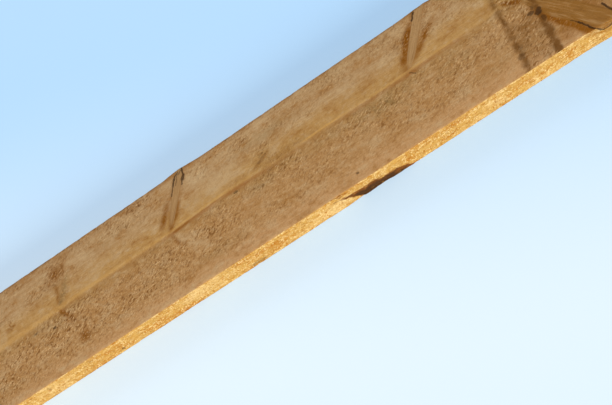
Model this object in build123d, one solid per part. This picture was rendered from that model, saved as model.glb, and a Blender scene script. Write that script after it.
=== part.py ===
"""A sawn softwood roof rafter, one solid length of timber.

The rafter is ripped through the heart of a small log, so one wide face shows the pith as a line along its
whole length. Drying has lifted that face into a low ridge at the pith. The branches of the tree cross the
board as knots that lean towards the top of the tree, and the narrow face swells slightly where one comes
out. Where the log was thinner than the rafter's far corner, the corner is missing and the log's own round
surface shows: this is the wane.

Frame: the rafter lies flat, heart face up. The origin is the middle of the face it lies on. X runs along
the grain towards the top of the tree, Y across the wide face towards the narrow face that carries the
battens, and Z up through the thickness. All sizes are in millimetres.
"""

import os

from build123d import *

# Sawn size.
LENGTH = 3000.0
WIDTH = 145.0
THICKNESS = 45.0
ARRIS_RADIUS = 0.8

# The heart face: where the pith runs on it, and how far drying has lifted it above the arrises.
PITH_Y = 10.0
HEART_RISE = 1.2

# The log, with the bark that is left on it: its radius at the two ends of the rafter, and one waist
# between them.
LOG_BUTT_RADIUS = 103.0
LOG_TOP_RADIUS = 90.5
WAIST_X = 82.0
WAIST_DEPTH = 4.6
WAIST_LENGTH = 230.0

# The knots that come out through a narrow face: (where the branch leaves the pith, its side, its swell).
# The side is +1 for the batten face and -1 for the bearing face.
KNOTS = (
    (-1275.0, +1, 1.4),
    (-1020.0, -1, 1.0),
    (-745.0, +1, 1.2),
    (-175.0, +1, 2.0),
    (180.0, +1, 1.2),
    (331.0, -1, 1.2),
    (690.0, +1, 1.3),
    (1085.0, -1, 1.2),
)
KNOT_LEAN = 0.8
SWELL_LENGTH = 70.0


def knot_exit(pith_x, side):
    """Where a branch that leaves the pith at pith_x comes out of the narrow face on that side."""
    return pith_x + KNOT_LEAN * abs(side * WIDTH / 2 - PITH_Y)


def swells_on(side):
    """The swells of one narrow face that lie wholly within the rafter's length, from the butt end up."""
    found = []
    for pith_x, knot_side, height in sorted(KNOTS):
        middle = knot_exit(pith_x, knot_side)
        if knot_side == side and abs(middle) + SWELL_LENGTH / 2 < LENGTH / 2:
            found.append((middle, height))
    return found


def narrow_face_line(side):
    """The line of one narrow face seen from above: straight, with a smooth swell at each knot."""
    y = side * WIDTH / 2
    at = (-LENGTH / 2, y)
    for middle, height in swells_on(side):
        start = (middle - SWELL_LENGTH / 2, y)
        top = (middle, y + side * height)
        end = (middle + SWELL_LENGTH / 2, y)
        Line(at, start)
        Spline(start, top, end, tangents=((1, 0), (1, 0)))
        at = end
    Line(at, (LENGTH / 2, y))


def ripped_plank():
    """The plank between its two narrow saw cuts, at full thickness."""
    half_length = LENGTH / 2
    half_width = WIDTH / 2
    with BuildPart() as plank:
        with BuildSketch():
            with BuildLine():
                narrow_face_line(-1)
                narrow_face_line(+1)
                Line((-half_length, -half_width), (-half_length, half_width))
                Line((half_length, -half_width), (half_length, half_width))
            make_face()
        extrude(amount=THICKNESS)
    return plank.part


def heart_faces():
    """The space between the flat back and the heart face, whose two halves fall away from the pith."""
    reach = WIDTH
    section = []
    for side in (-1, +1):
        fall = HEART_RISE / abs(side * WIDTH / 2 - PITH_Y)
        edge = side * reach
        section.append((edge, THICKNESS - fall * abs(edge - PITH_Y)))
    low, high = section
    with BuildPart() as between:
        with BuildSketch(Plane.YZ):
            with BuildLine():
                Polyline((-reach, 0), (reach, 0), high, (PITH_Y, THICKNESS), low, close=True)
            make_face()
        extrude(amount=LENGTH / 2, both=True)
    return between.part


def log():
    """The log, turned about the pith: a taper with one waist in it."""
    half_length = LENGTH / 2
    taper = (LOG_TOP_RADIUS - LOG_BUTT_RADIUS) / LENGTH
    middle_radius = (LOG_TOP_RADIUS + LOG_BUTT_RADIUS) / 2
    before = WAIST_X - WAIST_LENGTH / 2
    after = WAIST_X + WAIST_LENGTH / 2

    def radius(x):
        return middle_radius + taper * x

    profile_plane = Plane(origin=(0, PITH_Y, THICKNESS), x_dir=(1, 0, 0), z_dir=(0, 0, 1))
    with BuildPart() as stem:
        with BuildSketch(profile_plane):
            with BuildLine():
                Line((-half_length, 0), (-half_length, LOG_BUTT_RADIUS))
                Line((-half_length, LOG_BUTT_RADIUS), (before, radius(before)))
                Spline(
                    (before, radius(before)),
                    (WAIST_X, radius(WAIST_X) - WAIST_DEPTH),
                    (after, radius(after)),
                    tangents=((1, taper), (1, taper)),
                )
                Line((after, radius(after)), (half_length, LOG_TOP_RADIUS))
                Line((half_length, LOG_TOP_RADIUS), (half_length, 0))
                Line((half_length, 0), (-half_length, 0))
            make_face()
        revolve(axis=Axis((0, PITH_Y, THICKNESS), (1, 0, 0)))
    return stem.part


def rafter():
    """The plank with its heart face formed and its long arrises broken, less what the log didn't fill."""
    plank = ripped_plank() & heart_faces()
    along = [edge for edge in plank.edges() if edge.bounding_box().size.X > WIDTH / 10]
    ridge = [edge for edge in along if abs(edge.center().Y - PITH_Y) < 1 and edge.center().Z > THICKNESS / 2]
    arrises = [edge for edge in along if edge not in ridge]
    plank = fillet(arrises, ARRIS_RADIUS)
    return plank & log()


def main():
    os.makedirs("parts", exist_ok=True)
    piece = rafter()
    if isinstance(piece, ShapeList) or len(piece.solids()) != 1:
        raise ValueError("the rafter is not one solid")
    solid = piece.solids()[0]
    box = solid.bounding_box()
    print("rafter", [round(v, 2) for v in (*box.min, *box.max)], "volume", round(solid.volume / 1e6, 3), "dm3")
    export_step(solid, "parts/rafter.step")


main()
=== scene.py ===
"""The look of a sawn softwood roof rafter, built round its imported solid.

One skin stands for the rafter. Its surface is the solid's own: the plank's section, with the heart face
lifted at the pith, cut back to the round of the log where the log was too thin. The skin adds what the saw
and the tree left in it, and carries the places of the grain, the branches and the marks as attributes, from
which the timber material draws rings, fibres, knots, torn grain, lath marks and bark.

Lengths in the arrays are millimetres. Meshes are in metres, in the solid's frame.
"""

import math
from functools import reduce
from itertools import product
from types import SimpleNamespace

import bpy
import numpy as np
from bpy.props import FloatProperty, FloatVectorProperty, IntProperty, PointerProperty
from mathutils import Matrix, Vector


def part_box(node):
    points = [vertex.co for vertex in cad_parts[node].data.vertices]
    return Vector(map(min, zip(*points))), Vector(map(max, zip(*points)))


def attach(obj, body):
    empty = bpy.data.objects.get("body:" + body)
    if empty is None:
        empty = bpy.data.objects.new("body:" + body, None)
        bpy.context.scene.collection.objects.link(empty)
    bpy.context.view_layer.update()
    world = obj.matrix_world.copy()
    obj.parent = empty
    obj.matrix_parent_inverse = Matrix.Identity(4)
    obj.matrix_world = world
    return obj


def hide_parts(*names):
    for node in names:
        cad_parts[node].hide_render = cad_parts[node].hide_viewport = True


bl_info = {
    "name": "Sawn rafter",
    "version": (1, 0, 0),
    "blender": (4, 5, 0),
    "location": "3D View > Sidebar > Rafter",
    "description": "Builds the skin, the timber finish and the studio of a sawn softwood rafter",
    "category": "Add Mesh",
}

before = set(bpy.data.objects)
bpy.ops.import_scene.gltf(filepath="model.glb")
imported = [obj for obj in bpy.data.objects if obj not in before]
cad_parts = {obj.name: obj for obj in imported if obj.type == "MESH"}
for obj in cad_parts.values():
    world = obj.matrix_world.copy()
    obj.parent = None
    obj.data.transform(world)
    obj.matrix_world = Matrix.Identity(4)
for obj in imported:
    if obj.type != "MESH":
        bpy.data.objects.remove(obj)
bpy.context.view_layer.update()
RAFTER_LOW, RAFTER_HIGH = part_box("rafter")

MM = 0.001
TINY = 1e-6

# The camera's place, the line it looks along, its upward direction and how far it sees.
CAMERA_PLACE = Vector((0.36673, -0.64698, 1.41813))
CAMERA_LINE = Vector((-0.238333, 0.383246, -0.892368))
CAMERA_UP = Vector((0.532531, 0.819966, 0.209923))
CAMERA_REACH = 50

# The lines along which the two lamps shine.
KEY_LINE = Vector((0.12, 0.86, -0.46))
FILL_LINE = Vector((0.45, -0.70, -0.55))
FLOOR_HALF_SIDE = 30.0

# The line where the floor's two colours meet: its slant, and how far from it the change starts and ends.
# Between the last two distances from the rafter's middle the colours even out.
FLOOR_SLANT = 0.39
FLOOR_CHANGE = (-0.28, 0.25)
FLOOR_EVEN = (0.8, 2.4)

# The rays that see the floor's own colour. The others only take its light from it.
FLOOR_RAYS = ("Is Camera Ray", "Is Glossy Ray", "Is Transmission Ray")

# The mesh is finest between the middle two of these places along the rafter, and coarse past the outer two.
FINE_STRETCH = (-560, -500, 430, 490)
TRIAL_PLACES = 6001

# How many points a ring has on the back, on the two narrow faces and on the heart face below and above the
# pith, and its points beside the pith, as distances from it.
BACK_POINTS = 30
BATTEN_POINTS = 10
BEARING_POINTS = 16
LOWER_POINTS = 29
UPPER_POINTS = 22
PITH_POINTS = (-4.5, -3.0, -1.8, -0.9, -0.2, 0.5, 1.4, 2.6, 4.2)

# A point is fully on a face where its outward direction has the second share of that face's, and not on it
# where it has less than the first.
FACE_SHARES = (0.55, 0.85)

# How many rings of points each cross-cut has inside its rim, how they crowd towards it, how far in the first
# of them lies, and from which angle an edge is sharp.
CAP_LOOPS = 20
CAP_CROWDING = 1.25
RIM_SHARE = 0.994
SHARP_ANGLE = math.radians(60)

# The marks across the grain that the saw left: their spacing, and how they slant across and through.
SAW_SPACING = 8.5
SAW_SLANT_Y = 0.09
SAW_SLANT_Z = 0.12

# How deep the marks on the cross-cuts and the gap round a dead branch are, and the height above which no
# point is left but bark.
CUT_DEPTH = 0.3
GAP_DEPTH = 0.8
LEAST_SETTLE = -0.02

# Where the pith runs on the heart face and how it shows: places along the rafter and across it, how strong
# the light line above it is, that line's half width, and how strong the dark line below it is, which is
# painted shade under the step at the pith.
PITH_LINE = (
    (-1500, 13.0, 0.35, 3.0, 0.30),
    (-1290, 9.0, 0.45, 2.2, 0.60),
    (-1150, 7.0, 0.20, 3.4, 0.30),
    (-1000, 8.5, 0.40, 2.0, 0.80),
    (-800, 10.0, 0.35, 2.6, 0.30),
    (-640, 7.0, 0.10, 3.0, 0.10),
    (-480, 2.5, 0.35, 3.8, 0.10),
    (-350, 3.5, 0.42, 3.8, 0.10),
    (-336, 5.5, 0.40, 2.8, 0.20),
    (-300, 6.5, 0.42, 2.6, 0.20),
    (-200, 7.0, 0.40, 2.4, 0.35),
    (-176, 7.0, 0.35, 2.0, 0.55),
    (-163, 8.0, 0.45, 1.8, 0.80),
    (-90, 10.5, 0.50, 2.4, 1.00),
    (-72, 10.5, 0.40, 2.4, 1.00),
    (-55, 10.0, 0.30, 2.6, 0.95),
    (-41, 9.5, 0.10, 3.0, 0.80),
    (-10, 9.0, 0.00, 2.0, 0.45),
    (20, 9.5, 0.10, 1.5, 0.40),
    (40, 9.8, 0.70, 1.5, 0.35),
    (90, 9.8, 0.65, 1.5, 0.50),
    (118, 8.8, 0.35, 1.6, 0.75),
    (180, 8.8, 0.40, 1.8, 0.95),
    (192, 10.0, 0.40, 1.5, 0.80),
    (246, 10.6, 0.30, 1.4, 0.70),
    (262, 11.0, 0.05, 1.4, 0.15),
    (340, 12.5, 0.00, 2.0, 0.00),
    (560, 9.0, 0.10, 2.6, 0.10),
    (700, 8.0, 0.40, 2.0, 0.70),
    (880, 9.5, 0.20, 3.0, 0.20),
    (1080, 8.5, 0.45, 1.8, 0.60),
    (1240, 10.5, 0.10, 2.4, 0.20),
    (1500, 10.0, 0.35, 3.0, 0.30),
)

# Each branch: where it leaves the pith, its direction round the pith in degrees (0 towards the batten face,
# 180 towards the bearing face, 270 down), its lean up the tree, its full radius, the length over which it
# grows to that, how far out its bark is still round it, how plain it is, how grey, and how resinous its
# foot is.
BRANCHES = (
    (-1275, 0, 0.80, 9.0, 40, 52, 0.9, 0.5, 0.7),
    (-1262, 205, 0.70, 8.0, 40, 60, 0.7, 0.3, 0.5),
    (-1270, 282, 0.60, 9.0, 35, 90, 0.8, 0.2, 0.4),
    (-1020, 180, 0.80, 10.0, 55, 58, 0.9, 0.4, 0.7),
    (-1028, 262, 0.65, 8.5, 35, 90, 0.8, 0.3, 0.4),
    (-1010, 12, 0.70, 6.0, 30, 70, 0.6, 0.3, 0.4),
    (-745, 0, 0.80, 8.0, 40, 60, 0.8, 0.3, 0.8),
    (-752, 281, 0.60, 10.0, 40, 90, 0.8, 0.1, 0.5),
    (-738, 196, 0.60, 6.0, 30, 80, 0.5, 0.2, 0.4),
    (-568, 251, 0.60, 7.5, 30, 80, 0.7, 0.3, 0.4),
    (-346, 0, 0.45, 7.0, 40, 400, 0.25, 0.6, 0.1),
    (-350, 265, 0.60, 9.0, 35, 90, 0.8, 0.2, 0.4),
    (-170, 0, 0.705, 5.2, 19, 400, 1.0, 0.75, 0.35),
    (-180, 283, 0.60, 8.0, 35, 400, 0.7, 0.4, 0.4),
    (180, 0, 0.77, 5.6, 12, 104, 1.0, 0.85, 0.35),
    (176, 259, 0.60, 9.5, 35, 90, 0.8, 0.1, 0.4),
    (327, 182, 0.852, 13.4, 27, 400, 0.95, 0.05, 0.7),
    (322, 288, 0.60, 9.0, 35, 40, 0.9, 0.4, 0.5),
    (506, 272, 0.65, 7.0, 30, 80, 0.7, 0.2, 0.4),
    (512, 8, 0.70, 6.5, 30, 50, 0.8, 0.6, 0.7),
    (690, 0, 0.80, 8.5, 35, 55, 0.9, 0.7, 0.9),
    (684, 203, 0.70, 7.5, 35, 80, 0.6, 0.2, 0.4),
    (696, 266, 0.60, 9.0, 35, 42, 0.9, 0.4, 0.5),
    (884, 189, 0.45, 5.5, 25, 90, 0.5, 0.2, 0.3),
    (890, 284, 0.60, 8.5, 35, 90, 0.8, 0.1, 0.4),
    (1085, 180, 0.80, 9.5, 45, 64, 0.85, 0.25, 0.6),
    (1079, 254, 0.60, 8.0, 35, 90, 0.8, 0.2, 0.4),
    (1296, 12, 0.70, 8.0, 35, 60, 0.8, 0.4, 0.6),
    (1303, 268, 0.60, 7.5, 35, 40, 0.9, 0.5, 0.4),
)

# How thin a branch is at its foot, how long that foot is, how many branch radii away a branch still counts,
# and the unit of how far out the bark round it starts.
THINNEST_BRANCH = 0.3
FOOT_LENGTH = 0.2
BRANCH_LIMIT = 5.0
BRANCH_UNIT = 100

# How far above the heart face the pith ran, the width of a growth ring, and how far the rings bulge out
# beside a branch.
PITH_ABOVE = 1.0
RING_WIDTH = 3.1
RING_BULGE = 5.5

# The swells of the narrow faces where branches come out: where the branch leaves the pith, the side and the
# height. Their middles lie up the tree by the lean, and they reach as far as the half length.
SWELLS = (
    (-1275, +1, 1.4),
    (-1020, -1, 1.0),
    (-745, +1, 1.2),
    (-175, +1, 2.0),
    (180, +1, 1.2),
    (331, -1, 1.2),
    (690, +1, 1.3),
    (1085, -1, 1.2),
)
SWELL_LEAN = 0.8
SWELL_HALF_LENGTH = 35.0

# The laths that the timber was stacked on have left two smudged lines each: the middle and width of each
# lath, and how strong its two lines are.
LATHS = ((-592, 41, 0.9, 0.8), (320, 40, 0.95, 1.15), (1226, 43, 1.0, 0.9))

# How far a lath's lines run along the rafter for each millimetre across it, where across it a lath's middle
# is as given above, and how soft the ends of the strip between its lines are.
LATH_LEAN = 0.045
LATH_MIDDLE_Y = -20
LATH_SOFT_END = 3

# Soft patches on the heart face: their middle, their half sizes, and how much torn grain, grey smudge and
# resin colour each brings.
HEART_PATCHES = (
    (-333, 50, 15, 13, 0.9, 0.0, 1.1),
    (-346, 42, 9, 9, 0.8, 0.0, 0.8),
    (-319, 59, 9, 9, 0.6, 0.0, 0.7),
    (-337, 28, 14, 14, 0.1, 0.1, 0.45),
    (-327, -43, 12, 9, 0.9, 0.0, 1.15),
    (-336, -12, 11, 10, 0.7, 0.2, 0.75),
    (-362, -10, 30, 14, 0.9, 0.3, 0.0),
    (-430, -28, 40, 16, 0.9, 0.0, 0.1),
    (-422, 19, 7, 5, 0.0, 0.0, 0.5),
    (-195, 64, 28, 8, 1.0, 0.0, 0.65),
    (-170, 12, 14, 6, 0.0, 0.0, 0.45),
    (-40, 56, 22, 8, 0.8, 0.1, 0.35),
    (-20, 36, 22, 10, 0.5, 0.1, 0.3),
    (95, 64, 26, 7, 0.6, 0.2, 0.2),
    (160, 62, 24, 9, 0.6, 0.1, 0.4),
    (-200, -20, 38, 20, 1.0, 0.2, 0.1),
    (-120, -18, 22, 14, 1.0, 0.1, 0.15),
    (-40, -6, 16, 9, 0.9, 0.4, 0.0),
    (-2, 13, 40, 8, 0.4, 0.3, 0.6),
    (-20, 5, 16, 5, 0.5, 0.2, 0.5),
    (-60, 15, 14, 5, 0.2, 0.1, 0.5),
    (137, -7, 40, 14, 0.7, 0.8, 0.0),
    (60, -6, 30, 8, 0.1, 0.3, 0.1),
    (232, -13, 26, 12, 0.7, 0.6, 0.0),
    (268, -18, 10, 6, 0.7, 0.0, 0.4),
    (120, 24, 70, 12, 0.0, 0.0, 0.3),
    (184, 44, 12, 18, 0.1, 0.1, 0.55),
    (180, 14, 9, 8, 0.0, 0.0, 0.95),
    (290, 18, 22, 8, 0.0, 0.0, 0.5),
    (322, -36, 14, 34, 0.8, 0.1, 0.4),
    (330, -16, 12, 8, 0.3, 0.0, 0.6),
    (352, 0, 16, 16, 0.2, 0.1, 0.7),
    (356, -34, 11, 14, 0.1, 0.0, 1.0),
    (352, -60, 11, 13, 0.3, 0.0, 0.75),
    (283, -28, 15, 26, 0.3, 0.1, 0.28),
    (320, -2, 16, 9, 0.3, 0.0, 0.5),
    (395, -30, 20, 20, 0.1, 0.0, 0.8),
)

# Streaks on the heart face: both ends, the half width, and how much torn grain, grey smudge, resin colour
# and pale wood each brings.
STREAKS = (
    (-470, 11, -352, 11, 2.0, 0.0, 0.0, 0.45, 0.0),
    (-181, 14, -154, 46, 5.6, 0.0, 0.0, 1.15, 0.0),
    (-174, 20, -162, 37, 3.2, 0.0, 0.0, 1.5, 0.0),
    (-174, 4, -140, 40, 4.8, 0.0, 0.0, 1.25, 0.0),
    (-162, 16, -143, 36, 3.2, 0.0, 0.0, 1.0, 0.0),
    (-176, 5, -136, 7.6, 2.0, 0.0, 0.1, 1.3, 0.0),
    (-150, 7, -90, 9.6, 1.5, 0.0, 0.1, 0.8, 0.0),
    (-171, 8, -163, -14, 4.2, 0.4, 0.0, 1.2, 0.0),
    (-166, 2, -140, -28, 5.5, 0.3, 0.1, 0.0, 1.0),
    (-142, 25, -116, 22, 8.0, 0.0, 0.0, 0.0, 0.8),
    (-320, 17, -276, 18, 6.0, 0.0, 0.0, 0.0, 0.8),
    (-122, 42, -98, 60, 12.0, 0.0, 0.0, 0.0, 0.7),
    (-115, 30, -50, 34, 14.0, 0.0, 0.0, 0.0, 0.9),
    (-72, 20, -46, 13, 3.8, 0.0, 0.0, 0.6, 0.0),
    (-44, 13, -8, 28, 4.2, 0.2, 0.3, 0.9, 0.0),
    (174, 15, 214, 66, 5.2, 0.0, 0.0, 1.7, 0.0),
    (182, 26, 206, 56, 3.0, 0.0, 0.0, 1.9, 0.0),
    (185, 12, 240, 54, 4.8, 0.0, 0.0, 1.2, 0.0),
    (179, 12, 190, 4, 2.6, 0.0, 0.2, 0.8, 0.0),
    (-346, 6, -318, 40, 3.6, 0.1, 1.5, 0.45, 0.0),
    (-346, 8, -336, 40, 4.6, 0.1, 0.1, 0.85, 0.0),
    (-338, 8, -314, 34, 1.8, 0.0, 0.0, 0.7, 0.0),
    (-348, 6, -337, -12, 4.4, 0.2, 0.0, 1.2, 0.0),
    (-341, -6, -325, -26, 4.6, 0.7, 0.0, 0.7, 0.0),
    (-326, 34, -319, 62, 3.4, 0.3, 0.0, 1.0, 0.0),
    (-428, 20, -421, 20, 2.4, 0.0, 0.0, 0.9, 0.0),
    (-422, 18, -417, 31, 1.8, 0.0, 0.0, 1.15, 0.0),
    (-421, 18, -409, 24, 1.8, 0.0, 0.0, 1.15, 0.0),
    (306, 18, 332, 4, 3.6, 0.0, 0.0, 1.5, 0.0),
    (336, -14, 362, -42, 6.8, 0.2, 0.1, 2.4, 0.0),
    (350, -34, 374, -60, 5.4, 0.0, 0.1, 3.0, 0.0),
    (364, -56, 384, -80, 4.4, 0.0, 0.0, 1.8, 0.0),
)

# Cracks and the dark marks beside knots, by face: both ends along and across it, the half width and how
# dark.
CRACKS = {
    "heart": (
        (-148, 48, -141, 59, 1.1, 0.7),
        (-141, 59, -134, 68, 1.5, 0.9),
        (-134, 68, -127.5, 71.5, 1.2, 0.8),
        (-129.5, 54.5, -126, 59.5, 1.3, 0.85),
        (-126, 59.5, -122.4, 64, 2.6, 1.0),
        (-122.4, 63.5, -120.9, 73, 1.7, 1.0),
        (-137, 58, -129, 70, 0.9, 0.55),
        (-128, 68, -122, 72, 1.2, 0.6),
        (-30, 20, -17, 26, 1.7, 0.3),
        (-27, 26, -19, 29, 1.3, 0.25),
        (214, 63, 219, 70, 1.9, 0.95),
        (181, 8, 187, 3.5, 1.2, 0.5),
        (364, -48, 371, -55, 0.8, 0.55),
        (370, -54, 378, -67, 1.3, 0.95),
        (377, -66, 383, -75, 1.7, 1.0),
        (402, -52, 407, -63, 1.7, 1.0),
        (406, -62, 413, -75, 1.6, 1.0),
    ),
    "bearing": (
        (382, 46, 386, 34, 1.6, 1.0),
        (386, 35, 390, 30, 1.5, 1.0),
        (389, 30, 397, 31, 1.4, 0.95),
        (396, 30, 404, 40, 1.2, 0.85),
    ),
}

# Dark specks, by face: their place along and across it, their half sizes and how dark.
SPECKS = {
    "heart": (
        (70.8, -61.0, 2.0, 1.5, 0.7),
        (-362.0, -12.0, 2.8, 2.0, 0.8),
        (-389.0, -5.0, 4.0, 1.5, 0.5),
        (-71.5, 4.8, 3.4, 1.7, 0.6),
        (339.5, -17.5, 4.4, 3.4, 0.9),
        (342.5, -14.5, 2.4, 2.8, 0.8),
        (332.0, -14.0, 4.5, 2.6, 0.75),
        (336.0, -9.0, 2.2, 3.0, 0.45),
        (342.0, -27.0, 3.0, 4.5, 0.5),
        (298.5, -52.0, 5.0, 4.0, 0.4),
        (303.0, -41.0, 3.5, 3.0, 0.3),
    ),
    "bearing": (
        (-303.0, 11.0, 2.6, 3.6, 0.7),
        (-408.0, 31.0, 1.8, 6.5, 0.45),
        (-94.0, 8.0, 13.0, 4.5, 0.4),
        (-340.0, 33.0, 5.0, 3.0, 0.2),
    ),
}

# The colours of the heart face: their places between the bearing arris, 0, and the batten arris, 1.
HEART_ZONES = (
    (0.0, "lower_arris"),
    (0.06, "lower_arris"),
    (0.20, "lower_face"),
    (0.42, "lower_face"),
    # Just below the pith the face is darker: partly rougher wood, partly painted shade where the face falls
    # away from the ridge.
    (0.545, "lower_pith"),
    (0.575, "near_pith"),
    (0.65, "near_pith"),
    (0.80, "upper_face"),
    (0.92, "upper_face"),
    (1.0, "upper_arris"),
)

# The bark left on the bearing face: places along the rafter, and the heights of its upper and lower edges.
BARK_EDGES = (
    # The narrow tail of the first rows is partly bark and partly a painted shadow edge.
    (26, 32.5, 31.5),
    (34, 31.0, 26.5),
    (44, 28.5, 18.5),
    (52, 26.5, 9.5),
    (58, 25.5, -0.5),
    (72, 25.0, -8.0),
    (88, 22.0, -15.0),
    (104, 18.5, -15.0),
    (114, 14.5, -15.0),
    (124, 8.0, -15.0),
    (133, -2.0, -15.0),
)

# On the back face the bark starts from here, measured across from the middle, and slants by this much.
BARK_BACK_EDGE = 68.0
BARK_BACK_SLANT = 1.5


def linear(red, green, blue):
    """The linear colour of an sRGB colour given in parts of 255."""
    parts = (value / 255 for value in (red, green, blue))
    return tuple(v / 12.92 if v <= 0.04045 else ((v + 0.055) / 1.055) ** 2.4 for v in parts)


def colour_property(name, description, red, green, blue):
    return FloatVectorProperty(
        name=name, description=description, subtype="COLOR", min=0, max=1, default=linear(red, green, blue)
    )


def length_property(name, description, default):
    return FloatProperty(name=name, description=description, default=default, min=0, unit="LENGTH")


class RafterShape(bpy.types.PropertyGroup):
    """The sizes of the timber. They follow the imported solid."""

    length: length_property("Length", "Length between the two cross-cuts", RAFTER_HIGH.x - RAFTER_LOW.x)
    width: length_property("Width", "Sawn width between the two narrow faces", 0.145)
    thickness: length_property("Thickness", "Thickness at the pith", RAFTER_HIGH.z - RAFTER_LOW.z)
    arris_radius: length_property("Arris radius", "Rounding of the long arrises", 0.0008)
    pith_offset: length_property("Pith offset", "Distance of the ridge from the middle of the face", 0.010)
    heart_rise: length_property("Heart rise", "Height of the ridge above the arrises", 0.0012)
    butt_radius: length_property("Butt radius", "Radius of the log at the butt end", 0.103)
    top_radius: length_property("Top radius", "Radius of the log at the top end", 0.0905)
    waist_place: length_property("Waist place", "Distance of the log's waist from mid-length", 0.082)
    waist_depth: length_property("Waist depth", "Depth of the log's waist", 0.0046)
    waist_length: length_property("Waist length", "Length of the log's waist", 0.230)


class RafterRelief(bpy.types.PropertyGroup):
    """How deep the saw, the grain and drying have marked the surface."""

    settle: length_property("Settle", "How far the skin lies under the solid's faces", 0.00018)
    torn: length_property("Torn grain", "Depth of the torn grain", 0.0007)
    pitted: length_property("Pits", "Depth of the pits in the narrow faces", 0.0006)
    saw: length_property("Saw marks", "Depth of the marks across the grain", 0.00014)
    knot_lift: length_property("Knot lift", "How far knots stand above the shrunken wood", 0.00012)
    crease: length_property("Pith crease", "Step beside the pith", 0.00012)
    arris_wear: length_property("Arris wear", "Depth of the splinters lost along the arrises", 0.0004)
    bark_lift: length_property("Bark lift", "How far the bark stands out from the round of the log", 0.0009)
    fine_step: length_property("Fine step", "Spacing of the mesh where it is finest", 0.0025)
    stations: IntProperty(name="Stations", description="Rings of vertices along it", default=728, min=50)


class TimberColours(bpy.types.PropertyGroup):
    """The colours of the wood and of what is left on it."""

    near_pith: colour_property("Near pith", "Heart face just above the pith", 177, 140, 86)
    upper_face: colour_property("Upper face", "Heart face towards the batten arris", 173, 142, 103)
    upper_arris: colour_property("Upper arris", "Heart face at the batten arris", 166, 134, 96)
    # Darker below the pith: partly rougher wood, partly painted shade.
    lower_pith: colour_property("Below pith", "Heart face just below the pith", 161, 126, 79)
    lower_face: colour_property("Lower face", "Heart face towards the bearing arris", 170, 132, 87)
    lower_arris: colour_property("Lower arris", "Heart face at the bearing arris", 184, 145, 102)
    # The narrow faces are lighter and yellower than the heart face: partly their own tone, partly painted
    # sunlight.
    narrow_face: colour_property("Narrow face", "Sawn narrow faces", 198, 162, 88)
    batten_face: colour_property("Batten face", "The narrow face that the battens lie on", 200, 158, 110)
    # The stroke colours are partly painted highlight and painted shade of the rough sawn surface.
    narrow_cream: colour_property("Cream strokes", "Pale strokes across the narrow faces", 226, 203, 150)
    narrow_rust: colour_property("Rusty strokes", "Dark strokes across the narrow faces", 176, 118, 34)
    back_face: colour_property("Back face", "The face that the rafter lies on", 180, 142, 96)
    end_grain: colour_property("End grain", "The two cross-cuts", 176, 138, 94)
    ridge: colour_property("Ridge", "The light line at the pith", 198, 155, 88)
    late_wood: colour_property("Late wood", "The dark part of each ring", 146, 97, 48)
    cloud_dark: colour_property("Dark clouds", "The warm, darker clouds in the wood", 152, 107, 52)
    cloud_pale: colour_property("Pale clouds", "The pale, greyer clouds in the wood", 188, 162, 126)
    # Painted shade for the hollows of torn grain. The same colour also darkens knot lines, dead knots and
    # bark.
    fleck_shade: colour_property("Fleck shade", "What darkens the hollows of torn grain", 180, 152, 102)
    fleck_light: colour_property("Fleck light", "Fibres that the torn grain lifts", 216, 184, 140)
    grey_smudge: colour_property("Grey smudge", "Grey patches beside the pith", 140, 115, 74)
    resin: colour_property("Resin", "Resin-soaked wood", 129, 79, 10)
    knot_grey: colour_property("Grey knot", "A knot with little resin", 166, 133, 92)
    knot_brown: colour_property("Brown knot", "A knot with much resin", 132, 89, 28)
    crack: colour_property("Crack", "Cracks and the dead bark round a knot", 52, 32, 12)
    stain: colour_property("Lath stain", "The lines that the laths left", 103, 66, 22)
    # The bark's colours are partly painted shade, and its lighter flakes are partly painted sunlight.
    inner_bark: colour_property("Inner bark", "Bark next to the wood", 132, 80, 30)
    outer_bark: colour_property("Outer bark", "Outer bark", 74, 47, 22)
    bark_gold: colour_property("Bark flakes", "The lighter flakes of the bark", 160, 122, 66)
    wane: colour_property("Wane", "Round surface of the log where the bark came off", 170, 126, 80)


class Studio(bpy.types.PropertyGroup):
    """The floor, the light and the camera."""

    floor_deep: colour_property("Floor, deeper", "Floor colour on its deeper side", 186, 221, 249)
    floor_pale: colour_property("Floor, paler", "Floor colour on its paler side", 230, 244, 251)
    floor_matt: colour_property("Floor, matt share", "The share that the lamps light", 170, 179, 197)
    floor_glow: FloatProperty(name="Floor glow", description="Share that shows unlit", default=0.6, min=0)
    floor_bounce: colour_property("Floor bounce", "Floor colour that lights the rafter", 214, 210, 204)
    sky: FloatProperty(name="Sky", description="Even light from all round", default=0.42, min=0)
    key: FloatProperty(name="Key", description="Strength of the key lamp", default=3.3, min=0)
    key_colour: colour_property("Key colour", "Colour of the key lamp", 255, 241, 214)
    fill: FloatProperty(name="Fill", description="Strength of the fill lamp", default=0.7, min=0)
    softness: FloatProperty(
        name="Softness", description="How wide the lamps look", default=math.radians(28), subtype="ANGLE"
    )
    lens: FloatProperty(name="Lens", description="Focal length in millimetres", default=77.58, min=1)


class RafterSettings(bpy.types.PropertyGroup):
    """Everything a user would change."""

    shape: PointerProperty(type=RafterShape)
    relief: PointerProperty(type=RafterRelief)
    colours: PointerProperty(type=TimberColours)
    studio: PointerProperty(type=Studio)


def smooth(values, low, high):
    """A smooth step: 0 at low, 1 at high, and three t squared less two t cubed between."""
    t = np.clip((values - low) / (high - low), 0, 1)
    return t * t * (3 - 2 * t)


def bell(values, middle, half_width):
    """A bell: e to the minus square of the distance from the middle in half widths."""
    return np.exp(-(((values - middle) / half_width) ** 2))


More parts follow.
